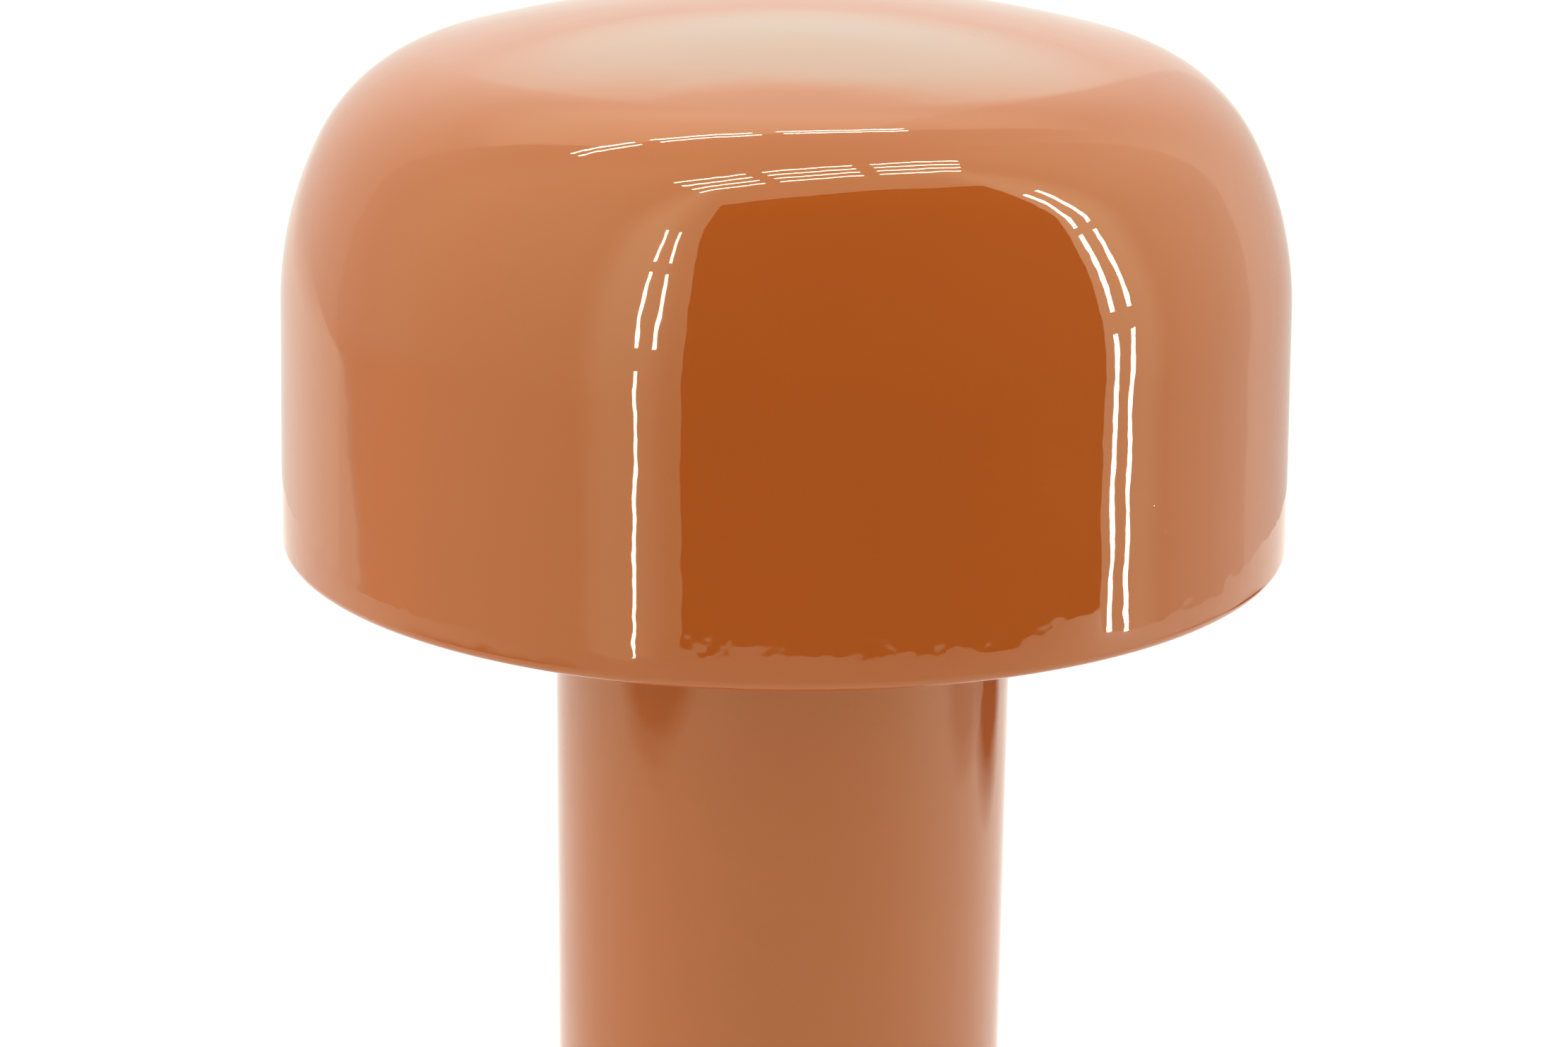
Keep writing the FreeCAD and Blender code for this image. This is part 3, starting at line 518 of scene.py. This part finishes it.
run_bottom = 0.1432
run_top = 0.1515
shade_lacquer = lacquered("shade_lacquer")
rim_run = clouds(shade_lacquer, 0.0035, detail=1.5)
relief(shade_lacquer, low_down(shade_lacquer, rim_run, run_bottom, run_top), 4.0e-5)
coat(shade_lacquer, "shade_shell")

rim_up = 0.143225
rim_across = 0.0613
rim_round = 0.0012
draft = 1.35
side_radius = 0.0445
side_across = 0.017317
side_up = rim_up + 0.02968
side_end = 27.4
shoulder_radius = 0.0216
shoulder_across = 0.037648
shoulder_up = rim_up + 0.040218
shoulder_end = 75.0
crown_radius = 0.16706
crown_up = rim_up - 0.100286
inner_run = 0.0012


def shade_skin(proud):
    """Path from the middle of the crown down the outside, round the rim and a little way up inside."""
    crown = bend(0.0, crown_up, crown_radius + proud, 90.0, shoulder_end, 24)
    shoulder = bend(shoulder_across, shoulder_up, shoulder_radius + proud, shoulder_end, side_end, 40)
    side = bend(side_across, side_up, side_radius + proud, side_end, draft, 26)
    rim = bend(rim_across, rim_up + rim_round, rim_round + proud, draft, draft - 180.0, 24)
    lean = math.radians(draft)
    inner = rim[-1] + Vector((-math.sin(lean), 0.0, math.cos(lean))) * inner_run
    return crown + shoulder[1:] + side[1:] + run(side[-1], rim[0], 12) + rim + [inner]


shade_film = turn_film("shade_film", shade_skin(film_outside), shade_skin(film_inside))
shade_film.data.materials.append(shade_lacquer)
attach(shade_film, "shade")


# Studio. A pale floor in soft white light from all round, brighter from above and behind. Only the gloss
# shows a white table with dark boards on it and a dark opening in front; the table is greyed towards its
# front as painted shade. Thin bright tubes stand up both sides of the opening, and two banks of them hang
# overhead.
world = bpy.data.worlds.new("white_surround")
bpy.context.scene.world = world
world.use_nodes = True
sky = world.node_tree
sky_place = sky.nodes.new("ShaderNodeTexCoord")
sky_split = sky.nodes.new("ShaderNodeSeparateXYZ")
sky_span = sky.nodes.new("ShaderNodeMapRange")
sky_span.inputs["From Min"].default_value = -0.5
sky_span.inputs["From Max"].default_value = 0.6
sky_span.inputs["To Min"].default_value = 0.76
sky_span.inputs["To Max"].default_value = 1.42
sky.links.new(sky_place.outputs["Generated"], sky_split.inputs["Vector"])
sky.links.new(sky_split.outputs["Z"], sky_span.inputs["Value"])


def out_at(turn):
    """The level direction that many degrees round from the front, towards the right."""
    return Vector((math.sin(math.radians(turn)), -math.cos(math.radians(turn)), 0.0))


def sky_along(direction):
    """How far a direction of the surround points along another."""
    along = sky.nodes.new("ShaderNodeVectorMath")
    along.operation = "DOT_PRODUCT"
    along.inputs[1].default_value = direction
    sky.links.new(sky_place.outputs["Generated"], along.inputs[0])
    return along.outputs["Value"]


def risen(pattern, low, high):
    """A patch of the surround: nought where a pattern is under low, rising smoothly to one at high."""
    edge = sky.nodes.new("ShaderNodeMapRange")
    edge.interpolation_type = "SMOOTHSTEP"
    edge.inputs["From Min"].default_value = low
    edge.inputs["From Max"].default_value = high
    sky.links.new(pattern, edge.inputs["Value"])
    return edge.outputs["Result"]


def round_patch(turn, up, outer, inner):
    """A round patch of the surround about a direction: nought at outer degrees off it, one at inner."""
    return risen(sky_along(rising(turn, up)), math.cos(math.radians(outer)), math.cos(math.radians(inner)))


def brighten(light, patch, gain):
    """Makes the light of the surround so many times as strong over a patch."""
    span = sky.nodes.new("ShaderNodeMapRange")
    span.inputs["To Min"].default_value = 1.0
    span.inputs["To Max"].default_value = gain
    product = sky.nodes.new("ShaderNodeMath")
    product.operation = "MULTIPLY"
    sky.links.new(patch, span.inputs["Value"])
    sky.links.new(span.outputs["Result"], product.inputs[0])
    sky.links.new(light, product.inputs[1])
    return product.outputs["Value"]


def lesser(one, other):
    """The smaller of two patterns."""
    least = sky.nodes.new("ShaderNodeMath")
    least.operation = "MINIMUM"
    sky.links.new(one, least.inputs[0])
    sky.links.new(other, least.inputs[1])
    return least.outputs["Value"]


def rising(turn, up):
    """The direction that many degrees round from the front and that many up."""
    return out_at(turn) * math.cos(math.radians(up)) + Vector((0.0, 0.0, math.sin(math.radians(up))))


front_turn = 24.0
opening_turns = (-22.0, 70.0)
back = out_at(front_turn + 180.0)
upward = Vector((0.0, 0.0, 1.0))


def between(first, last):
    """How far inside a span of directions round the lamp, in degrees from the front, a direction is."""
    return lesser(sky_along(out_at(first + 90.0)), sky_along(out_at(last - 90.0)))


right_corner = 125.0
back_corners = (front_turn + 140.5, front_turn + 219.0)
under_ceiling = sky_along(back * 2.7 - upward)
back_wall = lesser(between(*back_corners), under_ceiling)
high_wall = risen(lesser(between(right_corner, back_corners[1]), under_ceiling), 0.0, 0.02)
right_wall = risen(sky_along(out_at(right_corner + 90.0)), 0.0, 0.02)
left_edge = out_at(130.0) * 0.535
far_left = risen(sky_along(left_edge - upward), 0.0, 0.02)
near_left = risen(sky_along(upward - left_edge), 0.0, 0.02)
front_wall = lesser(between(*opening_turns), sky_along(out_at(front_turn) * 1.9 - upward))
back_light = lesser(round_patch(179.5, 26.5, 14.5, 5.0), risen(sky_along(-upward), -0.62, -0.53))
low_left = lesser(risen(sky_along(out_at(-162.0)), 0.0, 0.5), risen(sky_along(-upward), 0.1, 0.25))
warm_light = lesser(near_left, low_left)
far_low = lesser(risen(sky_along(out_at(-90.0)), 0.0, 0.9), risen(sky_along(-upward), 0.05, 0.22))
light = brighten(sky_span.outputs["Result"], risen(back_wall, 0.0, 0.02), 1.12)
light = brighten(light, lesser(high_wall, risen(sky_along(upward), 0.64, 0.82)), 1.35)
light = brighten(light, lesser(right_wall, risen(sky_along(out_at(60.0)), 0.0, 0.4)), 1.18)
light = brighten(light, lesser(far_left, far_low), 1.4)
light = brighten(light, back_light, 1.46)
light = brighten(light, round_patch(180.0, -8.0, 45.0, 12.0), 0.9)
light = brighten(light, risen(between(-110.0, -35.0), 0.0, 0.3), 1.15)
light = brighten(light, risen(between(80.0, 140.0), 0.0, 0.3), 1.15)
light = brighten(light, risen(between(-47.0, -24.0), 0.0, 0.14), 1.55)
light = brighten(light, risen(between(66.0, 93.0), 0.0, 0.14), 1.55)
light = brighten(light, risen(front_wall, 0.0, 0.06), 0.03)
sky.links.new(light, sky.nodes["Background"].inputs["Strength"])
coolness = sky.nodes.new("ShaderNodeMath")
coolness.operation = "SUBTRACT"
warm_to_cool = sky.nodes.new("ShaderNodeMapRange")
warm_to_cool.inputs["From Min"].default_value = -1.0
sky_tone = sky.nodes.new("ShaderNodeValToRGB")
sky_tone.color_ramp.elements[0].color = (1.12, 0.86, 0.7, 1.0)
sky_tone.color_ramp.elements[1].color = (0.68, 1.0, 0.98, 1.0)
sky_tone.color_ramp.elements.new(0.5).color = (1.0, 0.99, 0.91, 1.0)
sky.links.new(back_light, coolness.inputs[0])
sky.links.new(warm_light, coolness.inputs[1])
sky.links.new(coolness.outputs["Value"], warm_to_cool.inputs["Value"])
sky.links.new(warm_to_cool.outputs["Result"], sky_tone.inputs["Fac"])
sky.links.new(sky_tone.outputs["Color"], sky.nodes["Background"].inputs["Color"])

bpy.ops.mesh.primitive_plane_add(size=8.0)
floor = bpy.context.object
floor.name = "floor"
pale = finish("pale_floor", roughness=0.8)
tint(pale, clouds(pale, 0.4, detail=4.0), (0.3, (0.8, 0.8, 0.8)), (0.7, (0.82, 0.82, 0.82)))
floor.data.materials.append(pale)
floor.visible_glossy = False
floor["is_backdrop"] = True

bpy.ops.mesh.primitive_cylinder_add(vertices=180, radius=3.9, depth=6.0, end_fill_type="NOTHING",
                                    location=(0.0, 0.0, 2.9))
backdrop = bpy.context.object
backdrop.name = "backdrop"
white_paper = finish("white_paper", roughness=0.9)
tint(white_paper, clouds(white_paper, 0.5, detail=4.0), (0.3, (0.88, 0.88, 0.875)), (0.7, (0.9, 0.9, 0.895)))
socket_of(white_paper, "Emission Color").default_value = (1.0, 1.0, 1.0, 1.0)
socket_of(white_paper, "Emission Strength").default_value = 0.8
backdrop.data.materials.append(white_paper)
backdrop.visible_diffuse = False
backdrop.visible_glossy = False
backdrop.visible_shadow = False
backdrop.visible_transmission = False
backdrop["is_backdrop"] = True


def seen_in_gloss_only(piece):
    """Shows a piece of the studio in reflections, and nowhere else."""
    piece.visible_camera = False
    piece.visible_diffuse = False
    piece.visible_shadow = False
    piece.visible_transmission = False
    piece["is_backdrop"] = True


def in_opening(place):
    """Whether a place lies within the dark opening's directions."""
    return opening_turns[0] <= math.degrees(math.atan2(place.x, -place.y)) <= opening_turns[1]


table_edge = 0.545
table_up = 0.0001
front_reach = 0.58 / table_edge
bpy.ops.mesh.primitive_circle_add(vertices=360, radius=table_edge, fill_type="NGON",
                                  location=(0.0, 0.0, table_up))
table = bpy.context.object
table.name = "table"
select_where(table, in_opening)
bpy.ops.transform.resize(value=(front_reach, front_reach, 1.0), center_override=(0.0, 0.0, 0.0))
bpy.ops.object.mode_set(mode="OBJECT")
white_sheet = finish("white_sheet", roughness=0.8)
sheet_split = add(white_sheet, "ShaderNodeSeparateXYZ")
# The table's tint greys from the back towards its front: painted shade for the weaker light at the front.
front_painted_shade = add(white_sheet, "ShaderNodeMapRange")
front_painted_shade.inputs["From Min"].default_value = -0.5
front_painted_shade.inputs["From Max"].default_value = 0.1
join(white_sheet, place_of(white_sheet), sheet_split.inputs["Vector"])
join(white_sheet, sheet_split.outputs["Y"], front_painted_shade.inputs["Value"])
tint(white_sheet, front_painted_shade.outputs["Result"], (0.0, (0.56, 0.56, 0.58)), (1.0, (0.9, 0.9, 0.9)))
table.data.materials.append(white_sheet)
seen_in_gloss_only(table)

black = finish("black_cloth", roughness=1.0)
tint(black, clouds(black, 0.1), (0.3, (0.008, 0.008, 0.008)), (0.7, (0.012, 0.012, 0.012)))
socket_of(black, "Specular IOR Level").default_value = 0.0


def soft_cloth(name, share):
    """Black cloth with a soft edge, which in its middle hides that share of what lies under it."""
    made = finish(name, roughness=1.0)
    tint(made, clouds(made, 0.3), (0.3, (0.015, 0.015, 0.015)), (0.7, (0.02, 0.02, 0.02)))
    socket_of(made, "Specular IOR Level").default_value = 0.0
    from_middle = add(made, "ShaderNodeTexGradient")
    from_middle.gradient_type = "SPHERICAL"
    fade = add(made, "ShaderNodeMapRange")
    fade.inputs["From Max"].default_value = 0.5
    fade.inputs["To Max"].default_value = share
    join(made, place_of(made), from_middle.inputs["Vector"])
    join(made, from_middle.outputs["Fac"], fade.inputs["Value"])
    join(made, fade.outputs["Result"], socket_of(made, "Alpha"))
    return made


for name, share, turn, away, deep, wide in (
    ("left_board", 0.72, -64.0, 0.415, 0.08, 0.2),
    ("right_board", 0.95, 125.0, 0.385, 0.1, 0.1),
    ("right_side_board", 0.45, 102.0, 0.4, 0.085, 0.12),
):
    bpy.ops.mesh.primitive_circle_add(vertices=96, radius=1.0, fill_type="NGON")
    board = bpy.context.object
    board.name = name
    board.scale = (wide, deep, 1.0)
    board.rotation_euler = (0.0, 0.0, math.radians(turn))
    board.location = out_at(turn) * away + Vector((0.0, 0.0, 2.0 * table_up))
    board.data.materials.append(soft_cloth(name + "_cloth", share))
    seen_in_gloss_only(board)

opening_away = 0.6
bpy.ops.mesh.primitive_cylinder_add(vertices=360, radius=opening_away, depth=2.0, end_fill_type="NOTHING",
                                    location=(0.0, 0.0, 0.94))
opening = bpy.context.object
opening.name = "dark_opening"
bpy.ops.object.transform_apply(location=True, rotation=True, scale=True)
select_where(opening, lambda place: not in_opening(place))
bpy.ops.mesh.delete(type="VERT")
bpy.ops.mesh.select_all(action="SELECT")
lintel = out_at(front_turn) * 0.325 + Vector((0.0, 0.0, 0.82))
shade_front = out_at(front_turn) * 0.055 + Vector((0.0, 0.0, 0.197))
over_lintel = (lintel - shade_front).cross(out_at(front_turn + 90.0))
if over_lintel.z < 0.0:
    over_lintel.negate()
bpy.ops.mesh.bisect(plane_co=lintel, plane_no=over_lintel, clear_outer=True)
bpy.ops.object.mode_set(mode="OBJECT")
opening.data.materials.append(black)
seen_in_gloss_only(opening)


def tube(name, middle, facing, width, length, radiance):
    """A thin bright strip at that place, shining along facing, its length as near upright as it can be."""
    facing_turn = facing.to_track_quat("-Z", "Y").to_euler()
    bpy.ops.object.light_add(type="AREA", location=middle, rotation=facing_turn)
    made = bpy.context.object
    made.name = name
    made.data.shape = "RECTANGLE"
    made.data.size = width
    made.data.size_y = length
    made.data.energy = math.pi * width * length * radiance
    made.data.color = (0.84, 0.92, 1.1)
    made.visible_camera = False
    return made


tube_radiance = 23.0
side_away = 0.62
left_spans = ((0.245, 0.482), (0.525, 0.67))
right_spans = ((-0.025, 0.2), (0.254, 0.48), (0.506, 0.82))
for turn, width, spans in (
    (-30.8, 0.0075, ((-0.025, 0.175), *left_spans)),
    (-27.0, 0.0085, left_spans),
    (73.0, 0.013, right_spans),
    (77.4, 0.013, right_spans),
):
    for low, high in spans:
        middle = out_at(turn) * side_away + Vector((0.0, 0.0, 0.5 * (low + high)))
        tube("side_tube", middle, -out_at(turn), width, high - low, tube_radiance)

ceiling = 0.82
bank_length = 0.162
bank_pitch = 0.195
for bank, along, out_from, rows, row_pitch, thick in (
    ("front", -0.02, 0.115, 4, 0.027, 0.006),
    ("rear", -0.037, -0.204, 2, 0.023, 0.006),
):
    for row in range(rows):
        for number in range(3):
            middle = out_at(front_turn + 90.0) * (along + (number - 1) * bank_pitch)
            middle += out_at(front_turn) * (out_from + row * row_pitch) + Vector((0.0, 0.0, ceiling))
            made = tube(bank + "_tube", middle, Vector((0.0, 0.0, -1.0)), bank_length, thick, tube_radiance)
            made.rotation_euler = (0.0, 0.0, math.radians(front_turn))


# Camera. It stands close in front of the lamp, a little above the shade, and looks down on it with a slight
# roll, as the picture was taken.
picture_width = 2220
focal_pixels = 5174.0
sensor = 36.0
away_in_front = 0.4401
above_floor = 0.276
look_down = math.radians(16.71)
roll = math.radians(0.6)
bpy.ops.object.camera_add(location=(0.0, -away_in_front, above_floor))
camera = bpy.context.object
turned = Matrix.Rotation(math.radians(90.0) - look_down, 3, "X") @ Matrix.Rotation(roll, 3, "Z")
camera.rotation_euler = turned.to_euler()
camera.data.sensor_width = sensor
camera.data.lens = focal_pixels / picture_width * sensor
camera.data.clip_start = 0.01
bpy.context.scene.camera = camera
bpy.context.scene.view_settings.view_transform = "Standard"

low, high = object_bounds()
